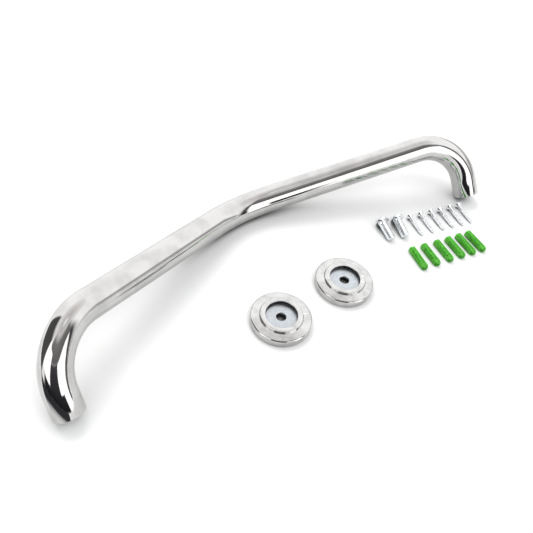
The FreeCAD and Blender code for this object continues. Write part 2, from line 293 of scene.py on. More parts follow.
# ---------------------------------------------------------------- rail
def tube_route():
    """Matrix from the rail's own plane to where the rail lies, from a leg's thread mount."""
    mount = MOUNTS["left_leg_thread"]
    lean = math.atan2(-mount["axis"][1], -mount["axis"][2])
    turned = Matrix.Rotation(-lean, 4, "X")
    half = MIDDLE_TURN / 2
    mouth = Vector((-RUN * math.cos(half), -RUN * math.sin(half), THREAD_MOUTH - LEG_STRAIGHT - LEG_BEND_R))
    return Matrix.Translation(Vector(mount["pos_m"]) - turned @ mouth) @ turned


def make_rail():
    """Tube drawn out from its left foot: straight stretches extruded, bends spun."""
    half = MIDDLE_TURN / 2
    foot = Vector((-RUN * math.cos(half), -RUN * math.sin(half), -LEG_STRAIGHT - LEG_BEND_R))
    corners = [
        foot,
        Vector((foot.x, foot.y, 0)),
        Vector((0, 0, 0)),
        Vector((-foot.x, foot.y, 0)),
        Vector((-foot.x, foot.y, foot.z)),
    ]
    bends = [0, LEG_BEND_R, MIDDLE_BEND_R, LEG_BEND_R]
    steps = [0, LEG_BEND_STEPS, MIDDLE_BEND_STEPS, LEG_BEND_STEPS]
    deselect()
    bpy.ops.mesh.primitive_circle_add(vertices=TUBE_SIDES, radius=TUBE_R, location=foot)
    bpy.ops.object.transform_apply(location=True)
    piece = start("rail")
    at = foot
    for i in range(1, 4):
        along = (corners[i] - corners[i - 1]).normalized()
        onward = (corners[i + 1] - corners[i]).normalized()
        turn = along.angle(onward)
        reach = bends[i] * math.tan(turn / 2)
        bend_start = corners[i] - along * reach
        bpy.ops.mesh.extrude_edges_move(TRANSFORM_OT_translate={"value": bend_start - at})
        axis = along.cross(onward).normalized()
        centre = bend_start + axis.cross(along) * bends[i]
        bpy.ops.mesh.spin(steps=steps[i], angle=-turn, center=centre, axis=axis)
        at = corners[i] + onward * reach
    bpy.ops.mesh.extrude_edges_move(TRANSFORM_OT_translate={"value": corners[4] - at})
    done(piece)
    modify(piece, "SOLIDIFY", thickness=TUBE_WALL, offset=-1, use_even_offset=True)
    modify(piece, "BEVEL", width=TUBE_RIM, segments=3, limit_method="ANGLE", angle_limit=math.radians(50))
    done(piece)
    settle(piece, tube_route())
    return piece


# ---------------------------------------------------------------- covers and plates
def make_cover():
    """Pressed shell: outer wall, shoulder, raised collar with the tube's hole."""
    t = COVER_SHEET
    rise = SHOULDER_Z + SHOULDER_RISE
    outline = [
        (COVER_R - t, 0),
        (COVER_R, 0),
        (COVER_R, SHOULDER_Z),
        (COLLAR_R, rise),
        (COLLAR_R, COLLAR_Z),
        (COVER_HOLE_R, COLLAR_Z),
        (COVER_HOLE_R, COLLAR_Z - t),
        (COLLAR_R - t, COLLAR_Z - t),
        (COLLAR_R - t, rise - t),
        (COVER_R - t, SHOULDER_Z - t),
    ]
    # each corner's rounding, by its place in the outline
    corners = {
        0: 0.15 * MM,
        1: 0.3 * MM,
        2: 1.8 * MM,
        3: 0.9 * MM,
        4: 1.0 * MM,
        5: 0.3 * MM,
        6: 0.1 * MM,
        7: 0.5 * MM,
        8: 1.3 * MM,
        9: 1.4 * MM,
    }
    return turn_up("cover", rounded(outline, corners), sides=144)


def make_plate():
    """Disc with a raised seat, a bolt hole through the seat and three countersunk screw holes."""
    lean = math.atan2(SEAT_BASE_R - SEAT_R, SEAT_HEIGHT - PLATE_SHEET)
    inset = PLATE_SHEET / math.cos(lean) - PLATE_SHEET * math.tan(lean)
    under = SEAT_HEIGHT - PLATE_SHEET
    outline = [
        (BOLT_HOLE_R, under),
        (SEAT_R - inset, under),
        (SEAT_BASE_R - inset + math.tan(lean) * PLATE_SHEET, 0),
        (PLATE_R, 0),
        (PLATE_R, PLATE_SHEET),
        (SEAT_BASE_R, PLATE_SHEET),
        (SEAT_R, SEAT_HEIGHT),
        (BOLT_HOLE_R + BOLT_HOLE_BEVEL, SEAT_HEIGHT),
        (BOLT_HOLE_R, SEAT_HEIGHT - BOLT_HOLE_BEVEL),
    ]
    # each corner's rounding, by its place in the outline
    corners = {1: 0.8 * MM, 2: 0.5 * MM, 3: 0.3 * MM, 4: 0.5 * MM, 5: 0.8 * MM, 6: 0.6 * MM}
    piece = turn_up("plate", rounded(outline, corners), sides=120)
    sink = SCREW_SINK_R - SCREW_HOLE_R
    for k in range(PLATE_SCREWS):
        profile = [
            (SCREW_HOLE_R, -PLATE_SHEET),
            (SCREW_HOLE_R, PLATE_SHEET - sink),
            (SCREW_SINK_R + PLATE_SHEET, 2 * PLATE_SHEET),
            (0, 2 * PLATE_SHEET),
            (0, -PLATE_SHEET),
        ]
        cutter = turn_up("cutter", profile, sides=40)
        a = TURN * k / PLATE_SCREWS
        settle(cutter, Matrix.Translation((SCREW_CIRCLE_R * math.cos(a), SCREW_CIRCLE_R * math.sin(a), 0)))
        cut(piece, cutter)
    return done(piece)


# ---------------------------------------------------------------- fixings
def block(at, size):
    """Block centred on a point, to cut with."""
    deselect()
    bpy.ops.mesh.primitive_cube_add(size=1, location=at, scale=size)
    bpy.ops.object.transform_apply(location=True, scale=True)
    return bpy.context.object


def make_thread(name, r, depth, pitch, turns, sides=36):
    """Helical ridge along Z from Z = 0: one tooth's outline, wound round and up."""
    root = r - depth
    crest_from, crest_to, root_from = (share * pitch for share in TOOTH_SHARES)
    steps = ((root, 0), (r, crest_from), (r, crest_to), (root, root_from), (root, pitch))
    piece = one_point(name, (steps[0][0], 0, steps[0][1]))
    for before, after in zip(steps, steps[1:]):
        move = (after[0] - before[0], 0, after[1] - before[1])
        bpy.ops.mesh.extrude_vertices_move(TRANSFORM_OT_translate={"value": move})
    bpy.ops.object.mode_set(mode="OBJECT")
    modify(
        piece,
        "SCREW",
        axis="Z",
        angle=TURN,
        screw_offset=pitch,
        iterations=turns,
        steps=sides,
        render_steps=sides,
        use_merge_vertices=True,
        merge_threshold=0.001 * MM,
        use_normal_calculate=True,
    )
    return done(piece, 40)


def join(piece, *others):
    """Join other pieces into the first."""
    deselect()
    for other in others:
        other.select_set(True)
    piece.select_set(True)
    bpy.context.view_layer.objects.active = piece
    bpy.ops.object.join()
    return piece


def make_bolt():
    """Button-head bolt along +Z, crown at Z = 0, with a hexagon socket and a rolled thread."""
    end = BOLT_HEAD_H + BOLT_LENGTH
    across, along = BOLT_TIP_EDGE
    crown = [(0, 0), (BOLT_CROWN_R, 0)]
    for k in range(1, CROWN_STEPS + 1):
        a = k / CROWN_STEPS * math.pi / 2
        crown.append((
            BOLT_CROWN_R + (BOLT_HEAD_R - BOLT_CROWN_R) * math.sin(a),
            (BOLT_HEAD_H - BOLT_RIM) * (1 - math.cos(a)),
        ))
    outline = crown + [
        (BOLT_HEAD_R, BOLT_HEAD_H),
        (BOLT_R + BOLT_FILLET, BOLT_HEAD_H),
        (BOLT_R, BOLT_HEAD_H + BOLT_FILLET),
        (BOLT_R, BOLT_HEAD_H + BOLT_NECK),
        (BOLT_CORE_R, BOLT_HEAD_H + BOLT_NECK + BOLT_RUNOUT),
        (BOLT_CORE_R, end - along),
        (BOLT_CORE_R - across, end),
        (0, end),
    ]
    piece = turn_up("bolt", outline, closed=False, sides=72)
    deselect()
    bpy.ops.mesh.primitive_cylinder_add(
        vertices=6, radius=BOLT_SOCKET / math.sqrt(3), depth=2 * BOLT_SOCKET_DEPTH, location=(0, 0, 0)
    )
    cut(piece, bpy.context.object)
    turns = int((BOLT_LENGTH - 2 * BOLT_NECK) / BOLT_PITCH)
    helix = make_thread("helix", BOLT_R, BOLT_THREAD_DEPTH, BOLT_PITCH, turns)
    settle(helix, Matrix.Translation((0, 0, BOLT_HEAD_H + BOLT_NECK + BOLT_THREAD_GAP)))
    return done(join(piece, helix), 35)


def make_screw():
    """Countersunk wood screw along +Z, crown at Z = 0: cross slot, coarse thread, tapered point."""
    head_z = SCREW_CROWN + SCREW_HEAD_EDGE
    neck_z = head_z + SCREW_HEAD_R - SCREW_NECK_R
    end = SCREW_CROWN + SCREW_LENGTH
    crown_r = (SCREW_HEAD_R**2 + SCREW_CROWN**2) / (2 * SCREW_CROWN)
    blunt_r, blunt_back = SCREW_BLUNT
    outline = [(0, 0)]
    for k in range(1, CROWN_STEPS + 1):
        r = SCREW_HEAD_R * k / CROWN_STEPS
        outline.append((r, crown_r - math.sqrt(crown_r**2 - r**2)))
    outline += [
        (SCREW_HEAD_R, head_z),
        (SCREW_NECK_R, neck_z),
        (SCREW_NECK_R, neck_z + SCREW_NECK),
        (SCREW_CORE_R, neck_z + SCREW_NECK + SCREW_RUNOUT),
        (SCREW_CORE_R, end - SCREW_POINT),
        (SCREW_CORE_R * 0.84, end - SCREW_POINT * 0.3),
        (blunt_r, end - blunt_back),
        (SCREW_TIP_R, end),
        (0, end),
    ]
    piece = turn_up("screw", outline, closed=False, sides=56)
    for span, width in ((SCREW_SLOT_SPAN, SCREW_SLOT), (SCREW_SLOT, SCREW_SLOT_SPAN)):
        cut(piece, block((0, 0, 0), (span, width, 2 * SCREW_SLOT_DEPTH)))
    helix_z = neck_z + SCREW_NECK + SCREW_THREAD_GAP
    turns = int((end - SCREW_THREAD_STOP - helix_z) / SCREW_PITCH)
    helix = make_thread("helix", SCREW_R, SCREW_THREAD_DEPTH, SCREW_PITCH, turns, 28)
    settle(helix, Matrix.Translation((0, 0, helix_z)))
    taper_from = end - SCREW_POINT
    for vertex in helix.data.vertices:
        past = max(0.0, (vertex.co.z - taper_from) / SCREW_POINT)
        shrink = 1 - SCREW_POINT_SHRINK * min(past, 1.0) ** 2
        vertex.co.x *= shrink
        vertex.co.y *= shrink
    return done(join(piece, helix), 35)


def comb(at, size, pitch, count):
    """Row of blocks along Z, for cutting a row of grooves."""
    blocks = block(at, size)
    modify(
        blocks,
        "ARRAY",
        count=count,
        use_relative_offset=False,
        use_constant_offset=True,
        constant_offset_displace=(0, 0, pitch),
    )
    return blocks


def make_plug():
    """Wall plug along +Z, mouth at Z = 0: chamfered square body, grooves, slit, narrower notched tip."""
    deselect()
    bpy.ops.mesh.primitive_cube_add(size=1, location=(0, 0, 0.5))
    bpy.ops.object.transform_apply(location=True)
    piece = start("plug")
    body = PLUG_LENGTH - PLUG_TIP_TAPER
    bpy.ops.transform.resize(value=(PLUG_WIDTH, PLUG_WIDTH, body), center_override=(0, 0, 0))
    pick(piece, lambda p: p.z > body - NEARBY, "FACE")
    bpy.ops.mesh.extrude_region_move(TRANSFORM_OT_translate={"value": (0, 0, PLUG_TIP_TAPER)})
    shrink = PLUG_TIP_WIDTH / PLUG_WIDTH
    bpy.ops.transform.resize(value=(shrink, shrink, 1), center_override=(0, 0, PLUG_LENGTH))
    pick(piece, lambda p: abs(p.x) > NEARBY and abs(p.y) > NEARBY, "EDGE")
    bpy.ops.mesh.bevel(offset=PLUG_CORNER, segments=1, affect="EDGES")
    pick(piece, lambda p: p.z < NEARBY or p.z > PLUG_LENGTH - NEARBY, "FACE")
    bpy.ops.mesh.bevel(offset=PLUG_END_EDGE, segments=2, affect="EDGES")
    bpy.ops.object.mode_set(mode="OBJECT")
    deselect()
    bpy.ops.mesh.primitive_cylinder_add(
        vertices=32, radius=PLUG_BORE_R, depth=2 * PLUG_BORE_DEPTH, location=(0, 0, 0)
    )
    cut(piece, bpy.context.object)
    tip = (0, 0, PLUG_LENGTH)
    cut(piece, block(tip, (2 * PLUG_WIDTH, PLUG_SLIT, 2 * PLUG_SLIT_LENGTH)))
    cut(piece, block(tip, (PLUG_NOTCH_WIDTH, 2 * PLUG_WIDTH, 2 * PLUG_NOTCH)))
    for side in (-1, 1):
        depth, width, first, pitch, count = PLUG_WIDE_GROOVES
        out = side * (PLUG_WIDTH - depth)
        cut(piece, comb((0, out, first), (PLUG_WIDTH, PLUG_WIDTH, width), pitch, count))
        depth, width, first, pitch, count = PLUG_FINE_GROOVES
        out = side * (PLUG_WIDTH - depth)
        cut(piece, comb((out, 0, first), (PLUG_WIDTH, 2 * PLUG_WIDTH, width), pitch, count))
    return done(piece, 30)


def lie(piece, node, heading, rim, toe):
    """Lay a piece made along +Z as its CAD node lies: dipped to rest on rim and toe, then turned."""
    dip = math.atan2(rim[1] - toe[1], toe[0] - rim[0])
    spin = Matrix.Rotation(math.radians(heading), 4, "Z") @ Matrix.Rotation(math.pi / 2 + dip, 4, "Y")
    settle(piece, spin)
    low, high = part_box(node)
    own_low = Vector([min(v.co[k] for v in piece.data.vertices) for k in range(3)])
    own_high = Vector([max(v.co[k] for v in piece.data.vertices) for k in range(3)])
    middle = (low + high) / 2 - (own_low + own_high) / 2
    settle(piece, Matrix.Translation((middle.x, middle.y, -own_low.z)))


# ---------------------------------------------------------------- materials
class Nodes:
    """Short way to write a node tree."""

    def __init__(self, tree):
        self.tree = tree
        self.tree.nodes.clear()

    def add(self, kind, settings=None, **inputs):
        """A node with its settings and inputs; a space in an input's name is written as a low line."""
        node = self.tree.nodes.new(kind)
        for key, value in (settings or {}).items():
            setattr(node, key, value)
        for key, value in inputs.items():
            self.set(node, key.replace("_", " "), value)
        return node

    def set(self, node, name, value):
        """Link a socket to an input, or write a plain value in it."""
        socket = node.inputs[int(name)] if name.isdigit() else node.inputs[name]
        if isinstance(value, bpy.types.NodeSocket):
            self.tree.links.new(value, socket)
        else:
            socket.default_value = value

    def math(self, operation, a, b=0.0, clamp=False):
        """Result of a Math node."""
        node = self.tree.nodes.new("ShaderNodeMath")
        node.operation = operation
        node.use_clamp = clamp
        for i, value in enumerate((a, b)):
            self.set(node, str(i), value)
        return node.outputs[0]

    def mix(self, factor, a, b):
        """Colour a where the factor is 0, b where it is 1."""
        node = self.tree.nodes.new("ShaderNodeMix")
        node.data_type = "RGBA"
        self.set(node, "0", factor)
        self.set(node, "6", a)
        self.set(node, "7", b)
        return node.outputs[2]

    def span(self, value, low, high, to_low=0.0, to_high=1.0):
        """A value from low to high stretched to another span, and held at its ends."""
        node = self.tree.nodes.new("ShaderNodeMapRange")
        node.clamp = True
        for i, v in enumerate((value, low, high, to_low, to_high)):
            self.set(node, str(i), v)
        return node.outputs[0]


def group(name, inputs, outputs, build):
    """Node group with named sockets; build gets the tree writer, the group's inputs and its output node."""
    tree = bpy.data.node_groups.new(name, "ShaderNodeTree")
    for socket, kind, value in inputs:
        made = tree.interface.new_socket(socket, in_out="INPUT", socket_type=kind)
        made.default_value = value
    for socket, kind in outputs:
        tree.interface.new_socket(socket, in_out="OUTPUT", socket_type=kind)
    nodes = Nodes(tree)
    source = nodes.add("NodeGroupInput")
    sink = nodes.add("NodeGroupOutput")
    build(nodes, source.outputs, sink)
    return tree


VEC, NUM = "NodeSocketVector", "NodeSocketFloat"


def build_polish(nodes, given, sink):
    """Buffed metal: soft cloudy haze, fine hairlines in two directions and a slow waviness."""
    cloud = nodes.add("ShaderNodeTexNoise", Vector=given["Place"], Scale=given["Cloud size"], Detail=4.0)
    haze = nodes.span(cloud.outputs[0], 0.42, 0.68)
    lines = []
    for scale in ((9000.0, 260.0, 260.0), (300.0, 7000.0, 5000.0)):
        stretch = nodes.add("ShaderNodeVectorMath", {"operation": "MULTIPLY"})
        nodes.set(stretch, "0", given["Place"])
        nodes.set(stretch, "1", scale)
        fine = nodes.add("ShaderNodeTexNoise", Vector=stretch.outputs[0], Scale=1.0, Detail=2.0)
        lines.append(nodes.span(fine.outputs[0], 0.60, 0.78))
    hair = nodes.math("MAXIMUM", lines[0], lines[1])
    wave = nodes.add("ShaderNodeTexNoise", Vector=given["Place"], Scale=given["Wave size"], Detail=1.0)
    height = nodes.math("ADD", wave.outputs[0], nodes.math("MULTIPLY", hair, 0.02))
    nodes.set(sink, "Haze", haze)
    nodes.set(sink, "Hair", hair)
    nodes.set(sink, "Height", height)


def build_wear(nodes, given, sink):
    """Edge mask: convex edges broken up by noise."""
    rough = nodes.add("ShaderNodeTexNoise", Vector=given["Place"], Scale=given["Break size"], Detail=3.0)
    edge = nodes.span(given["Edge"], 0.52, 0.60)
    nodes.set(sink, "Mask", nodes.math("MULTIPLY", edge, nodes.span(rough.outputs[0], 0.35, 0.6)))


def build_grain(nodes, given, sink):
    """Fine grain: crystal-like cells over soft mottling, as on zinc plating or moulded plastic."""
    cells = nodes.add("ShaderNodeTexVoronoi", Vector=given["Place"], Scale=given["Cell size"])
    mottle = nodes.add("ShaderNodeTexNoise", Vector=given["Place"], Scale=given["Mottle size"], Detail=5.0)
    tone = nodes.add("ShaderNodeSeparateColor", Color=cells.outputs["Color"])
    cell_half = nodes.math("MULTIPLY", tone.outputs[0], 0.5)
    mottle_half = nodes.math("MULTIPLY", mottle.outputs[0], 0.5)
    nodes.set(sink, "Tone", nodes.math("ADD", cell_half, mottle_half))
    dimples = nodes.math("MULTIPLY", cells.outputs["Distance"], 0.3)
    nodes.set(sink, "Height", nodes.math("ADD", dimples, mottle.outputs[0]))


POLISH = group(
    "polish",
    [("Place", VEC, (0, 0, 0)), ("Cloud size", NUM, 60.0), ("Wave size", NUM, 30.0)],
    [("Haze", NUM), ("Hair", NUM), ("Height", NUM)],
    build_polish,
)
# one convex-edge mask: wear on the chrome and zinc, a painted highlight on the green plastic
EDGE_WEAR_AND_HIGHLIGHT = group(
    "edge wear and highlight",
    [("Place", VEC, (0, 0, 0)), ("Edge", NUM, 0.5), ("Break size", NUM, 900.0)],
    [("Mask", NUM)],
    build_wear,
)
GRAIN = group(
    "grain",
    [("Place", VEC, (0, 0, 0)), ("Cell size", NUM, 900.0), ("Mottle size", NUM, 300.0)],
    [("Tone", NUM), ("Height", NUM)],
    build_grain,
)


def blank(name):
    """A material with an empty node tree, and the writer for it."""
    made = bpy.data.materials.new(name)
    made.use_nodes = True
    return made, Nodes(made.node_tree)


def material(name, build, **fixed):
    """Material with one Principled shader; build links its changing inputs, fixed sets the plain ones."""
    made, nodes = blank(name)
    shader = nodes.add("ShaderNodeBsdfPrincipled")
    out = nodes.add("ShaderNodeOutputMaterial")
    nodes.set(out, "Surface", shader.outputs[0])
    for key, value in fixed.items():
        nodes.set(shader, key.replace("_", " "), value)
    place = nodes.add("ShaderNodeTexCoord").outputs["Object"]
    build(nodes, shader, place)
    return made


def placed(nodes, tree, place, **values):
    """A group node in a material."""
    node = nodes.add("ShaderNodeGroup", {"node_tree": tree})
    nodes.set(node, "Place", place)
    for key, value in values.items():
        nodes.set(node, key.replace("_", " "), value)
    return node.outputs


def bump(nodes, height, strength, distance):
    """Normal of a surface with small heights on it."""
    return nodes.add("ShaderNodeBump", Height=height, Strength=strength, Distance=distance).outputs[0]


def chrome(name, base, haze_colour, smooth, hazy, cloud):
    """Polished chrome with a faint haze, hairlines and wear at its rims."""

    def build(nodes, shader, place):
        polish = placed(nodes, POLISH, place, Cloud_size=cloud)
        edge = nodes.add("ShaderNodeNewGeometry").outputs["Pointiness"]
        edge_wear_and_highlight = placed(nodes, EDGE_WEAR_AND_HIGHLIGHT, place, Edge=edge)["Mask"]
        colour = nodes.mix(polish["Haze"], base, haze_colour)
        nodes.set(shader, "Base Color", nodes.mix(edge_wear_and_highlight, colour, (0.93, 0.93, 0.93, 1)))
        rough = nodes.span(polish["Haze"], 0.0, 1.0, smooth, hazy)
        rough = nodes.math("ADD", rough, nodes.math("MULTIPLY", polish["Hair"], 0.03))
        nodes.set(shader, "Roughness", nodes.math("ADD", rough, nodes.math("MULTIPLY", edge_wear_and_highlight, 0.1), True))
        nodes.set(shader, "Normal", bump(nodes, polish["Height"], 0.35, 0.0002))

    return material(name, build, Metallic=1.0)


def zinc(name, bright, dull, rubbed, smooth, hazy, depth):
    """Bright zinc plating: bluish, finely mottled, with painted shade in its recesses, rubbed bright at its
    edges.
    """

    def build(nodes, shader, place):
        grain = placed(nodes, GRAIN, place, Cell_size=1400.0, Mottle_size=420.0)
        edge = nodes.add("ShaderNodeNewGeometry").outputs["Pointiness"]
        edge_wear_and_highlight = placed(nodes, EDGE_WEAR_AND_HIGHLIGHT, place, Edge=edge, Break_size=1500.0)["Mask"]
        colour = nodes.mix(nodes.span(grain["Tone"], 0.3, 0.7), dull, bright)
        # painted shade: concave places, such as the bolt's socket, are darkened towards near black
        painted_recess_shade = nodes.span(edge, 0.36, 0.47, 0.7, 0.0)
        colour = nodes.mix(painted_recess_shade, colour, (0.08, 0.082, 0.085, 1))
        nodes.set(shader, "Base Color", nodes.mix(edge_wear_and_highlight, colour, rubbed))
        nodes.set(shader, "Roughness", nodes.span(grain["Tone"], 0.3, 0.7, hazy, smooth))
        nodes.set(shader, "Normal", bump(nodes, grain["Height"], depth, 0.00004))

    return material(name, build, Metallic=1.0)


def plastic(name, light, dark):
    """Moulded plastic: speckled colour, a fine skin and a painted highlight that makes its convex edges
    paler.
    """

    def build(nodes, shader, place):
        grain = placed(nodes, GRAIN, place, Cell_size=1150.0, Mottle_size=420.0)
        edge = nodes.add("ShaderNodeNewGeometry").outputs["Pointiness"]
        edge_wear_and_highlight = placed(nodes, EDGE_WEAR_AND_HIGHLIGHT, place, Edge=edge, Break_size=1200.0)["Mask"]
        colour = nodes.mix(nodes.span(grain["Tone"], 0.34, 0.56), dark, light)
        # painted highlight: the convex edges are made a paler green
        nodes.set(shader, "Base Color", nodes.mix(edge_wear_and_highlight, colour, (0.17, 0.64, 0.08, 1)))
        nodes.set(shader, "Roughness", nodes.span(grain["Tone"], 0.3, 0.7, 0.6, 0.44))
        nodes.set(shader, "Normal", bump(nodes, grain["Height"], 0.4, 0.00006))

    return material(name, build, Specular_IOR_Level=0.22)


RAIL_CHROME = chrome(
    "rail chrome",
    base=(0.51, 0.505, 0.50, 1),
    haze_colour=(0.42, 0.415, 0.41, 1),
    smooth=0.05,
    hazy=0.13,
    cloud=55.0,
)
COVER_CHROME = chrome(
    "cover chrome",
    base=(0.52, 0.52, 0.515, 1),
    haze_colour=(0.41, 0.41, 0.405, 1),
    smooth=0.09,
    hazy=0.20,
    cloud=110.0,
)
PLATE_ZINC = zinc(
    "plate zinc",
    bright=(0.49, 0.52, 0.55, 1),
    dull=(0.42, 0.45, 0.48, 1),
    rubbed=(0.58, 0.60, 0.63, 1),
    smooth=0.34,
    hazy=0.46,
    depth=0.2,
)
FIXING_ZINC = zinc(
    "fixing zinc",
    bright=(0.84, 0.86, 0.88, 1),
    dull=(0.74, 0.77, 0.80, 1),
    rubbed=(0.9, 0.91, 0.92, 1),
    smooth=0.10,
    hazy=0.18,
    depth=0.03,
)
PLUG_GREEN = plastic("plug green", light=(0.072, 0.46, 0.026, 1), dark=(0.022, 0.22, 0.008, 1))


def finish_piece(piece, look, body, node):
    """Give a piece its look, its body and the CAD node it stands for."""
    piece.data.materials.clear()
    piece.data.materials.append(look)
    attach(piece, body)
    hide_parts(node)


# ---------------------------------------------------------------- build
rail = make_rail()
finish_piece(rail, RAIL_CHROME, "rail", "rail_tube")
for side in ("left", "right"):
    insert = frame["nodes"][side + "_insert"]
    for slot_index in range(len(insert.data.materials)):
        insert.data.materials[slot_index] = FIXING_ZINC

cover_model = make_cover()
plate_model = make_plate()
for side in ("left", "right"):
    centre = Vector(MOUNTS[side + "_plate_screw_holes"]["pos_m"])
    spot = Matrix.Translation(centre) @ Matrix.Rotation(math.radians(PLATE_TURNS[side]), 4, "Z")
    cover = settle(copy(cover_model, side + "_cover_shell"), spot)
    finish_piece(cover, COVER_CHROME, side + "_cover", side + "_cover")
    plate = settle(copy(plate_model, side + "_plate_disc"), spot)
    finish_piece(plate, PLATE_ZINC, side + "_plate", side + "_wall_plate")

bolt_end = BOLT_HEAD_H + BOLT_LENGTH
screw_end = SCREW_CROWN + SCREW_LENGTH
ROWS = (
    ("bolt", make_bolt(), BOLT_HEADINGS, (BOLT_HEAD_H, BOLT_HEAD_R), (bolt_end - BOLT_POINT, BOLT_R),
     FIXING_ZINC, "zinc"),
    ("screw", make_screw(), SCREW_HEADINGS, (SCREW_CROWN + SCREW_HEAD_EDGE, SCREW_HEAD_R),
     (screw_end - SCREW_POINT, SCREW_R), FIXING_ZINC, "zinc"),
    ("wall_plug", make_plug(), PLUG_HEADINGS, (PLUG_MOUTH_EDGE, PLUG_WIDTH / 2),
     (PLUG_LENGTH - PLUG_TIP_TAPER, PLUG_WIDTH / 2), PLUG_GREEN, "plug_plastic"),
)
for kind, model, headings, rim, toe, look, slot in ROWS:
    for i, heading in enumerate(headings, 1):
        node = "%s_%d" % (kind, i)
        piece = copy(model, node + "_piece")
        lie(piece, node, heading, rim, toe)
        finish_piece(piece, look, node, node)
    bpy.data.objects.remove(model)
bpy.data.objects.remove(cover_model)
bpy.data.objects.remove(plate_model)


# ---------------------------------------------------------------- studio
CAMERA_AT = Vector((-0.2856, -0.2418, 0.4165))
CAMERA_AIM = Vector((0.48552, 0.45613, -0.74580))
CAMERA_ROLL = math.radians(11.15)
LENS = 42.2

FLOOR_SIZE = 30.0
FLOOR_PALE = (0.80, 0.80, 0.79, 1)
# painted shade: the floor's colour where it is shut in all round, and how far round it looks for that
FLOOR_PAINTED_SHADE = (0.012, 0.012, 0.012, 1)
PAINTED_SHADE_REACH = 0.05  # metres
GLOW_FROM, GLOW_TO = 0.2, 0.7  # metres from the middle of the floor
GLOW_NEAR, GLOW_FAR = 0.37, 0.8
WORLD_LIGHT = 0.58
WORLD_WHITE = 1.68
SOFT_WHITE = 2.5
WARM_GREY = (1, 0.98, 0.97, 1)
COLD_GREY = (0.9, 0.86, 1, 1)

# name, azimuths and elevations of the edges in degrees, distance, tone at the low and the high edge,
# degrees of fading at the sides and the top, tint
CARDS = (
    ("ceiling", (-180, 180), (56, 89), 2.6, 1.5, 0.68, (1, 8), WARM_GREY),
    ("ceiling shade", (-190, -44), (44, 74), 2.3, 0.20, 0.40, (12, 10), WARM_GREY),
    ("back wall shade", (112, 165), (-2, 60), 2.4, 0.13, 0.10, (3, 12), WARM_GREY),
    ("dark room", (-185, -44), (-2, 50), 2.8, 0.015, 0.11, (7, 8), COLD_GREY),
    ("front softbox", (-107, -57), (15, 43), 2.0, SOFT_WHITE, SOFT_WHITE, (2, 2), WARM_GREY),
    ("front softbox foot", (-90, -57), (-1, 20), 2.05, SOFT_WHITE, SOFT_WHITE, (4, 0.5), WARM_GREY),
    ("side window", (164, 207), (15, 52), 2.0, SOFT_WHITE, SOFT_WHITE, (3, 2), WARM_GREY),
    ("bench edge", (-56, 40), (-0.5, 2.4), 2.5, 0.02, 0.03, (2, 0.5), WARM_GREY),
    ("low shade", (-50, 25), (6, 22), 2.2, 0.30, 1.0, (12, 9), WARM_GREY),
)


def seen_plainly(nodes):
    path = nodes.add("ShaderNodeLightPath").outputs
    straight = nodes.math("ADD", path["Is Camera Ray"], path["Is Glossy Ray"])
    return nodes.math("ADD", straight, path["Is Transmission Ray"], True)


def pale_floor():
    """Pale floor that reads as white and keeps the shadows, with painted shade where it is shut in all
    round: there it turns near black and its glow fades.
    """
    deselect()
    bpy.ops.mesh.primitive_plane_add(size=FLOOR_SIZE)
    floor = bpy.context.object
    floor.name = "floor"
    made, nodes = blank("floor")
    rays = seen_plainly(nodes)
    open_sky = nodes.add("ShaderNodeAmbientOcclusion", Distance=PAINTED_SHADE_REACH).outputs["AO"]
    # painted shade: the floor goes near black where little of the sky is open to it, as under the plates
    floor_with_painted_shade = nodes.mix(nodes.span(open_sky, 0.17, 0.42), FLOOR_PAINTED_SHADE, FLOOR_PALE)
    shade = nodes.add("ShaderNodeBsdfDiffuse", Color=floor_with_painted_shade)
    place = nodes.add("ShaderNodeTexCoord").outputs["Object"]
    reach = nodes.add("ShaderNodeVectorMath", {"operation": "LENGTH"})
    nodes.set(reach, "0", place)
    far = nodes.span(reach.outputs["Value"], GLOW_FROM, GLOW_TO, GLOW_NEAR, GLOW_FAR)
    # painted shade: the glow fades too where the floor is shut in
    lift = nodes.math("MULTIPLY", far, nodes.math("POWER", open_sky, 2.0))
    glow = nodes.add("ShaderNodeEmission", Color=(1, 1, 1, 1), Strength=nodes.math("MULTIPLY", rays, lift))
    both = nodes.add("ShaderNodeAddShader")
    nodes.set(both, "0", shade.outputs[0])
    nodes.set(both, "1", glow.outputs[0])
    nodes.set(nodes.add("ShaderNodeOutputMaterial"), "Surface", both.outputs[0])
    floor.data.materials.append(made)


def white_world():
    """Plain world light; what the camera, metal and glass see of it is white."""
    world = bpy.data.worlds.new("studio")
    bpy.context.scene.world = world
    world.use_nodes = True
    nodes = Nodes(world.node_tree)
    light = nodes.add("ShaderNodeBackground", Color=(0.97, 0.98, 1.0, 1), Strength=WORLD_LIGHT)
    white = nodes.add("ShaderNodeBackground", Color=(1, 1, 1, 1), Strength=WORLD_WHITE)
    both = nodes.add("ShaderNodeMixShader")
    nodes.set(both, "0", seen_plainly(nodes))
    nodes.set(both, "1", light.outputs[0])
    nodes.set(both, "2", white.outputs[0])
    nodes.set(nodes.add("ShaderNodeOutputWorld"), "Surface", both.outputs[0])


def faded(nodes, mask, glow):
    """The material's surface: glow where the mask is 1, see-through where it is 0."""
    both = nodes.add("ShaderNodeMixShader")
    nodes.set(both, "0", mask)
    nodes.set(both, "1", nodes.add("ShaderNodeBsdfTransparent").outputs[0])
    nodes.set(both, "2", glow.outputs[0])
    nodes.set(nodes.add("ShaderNodeOutputMaterial"), "Surface", both.outputs[0])


def reflections_only(piece, look):
    """Give a piece its look and hide it from all but reflections."""
    piece.data.materials.append(look)
    piece.visible_camera = False
    piece.visible_diffuse = False
    piece.visible_shadow = False
    piece.visible_transmission = False


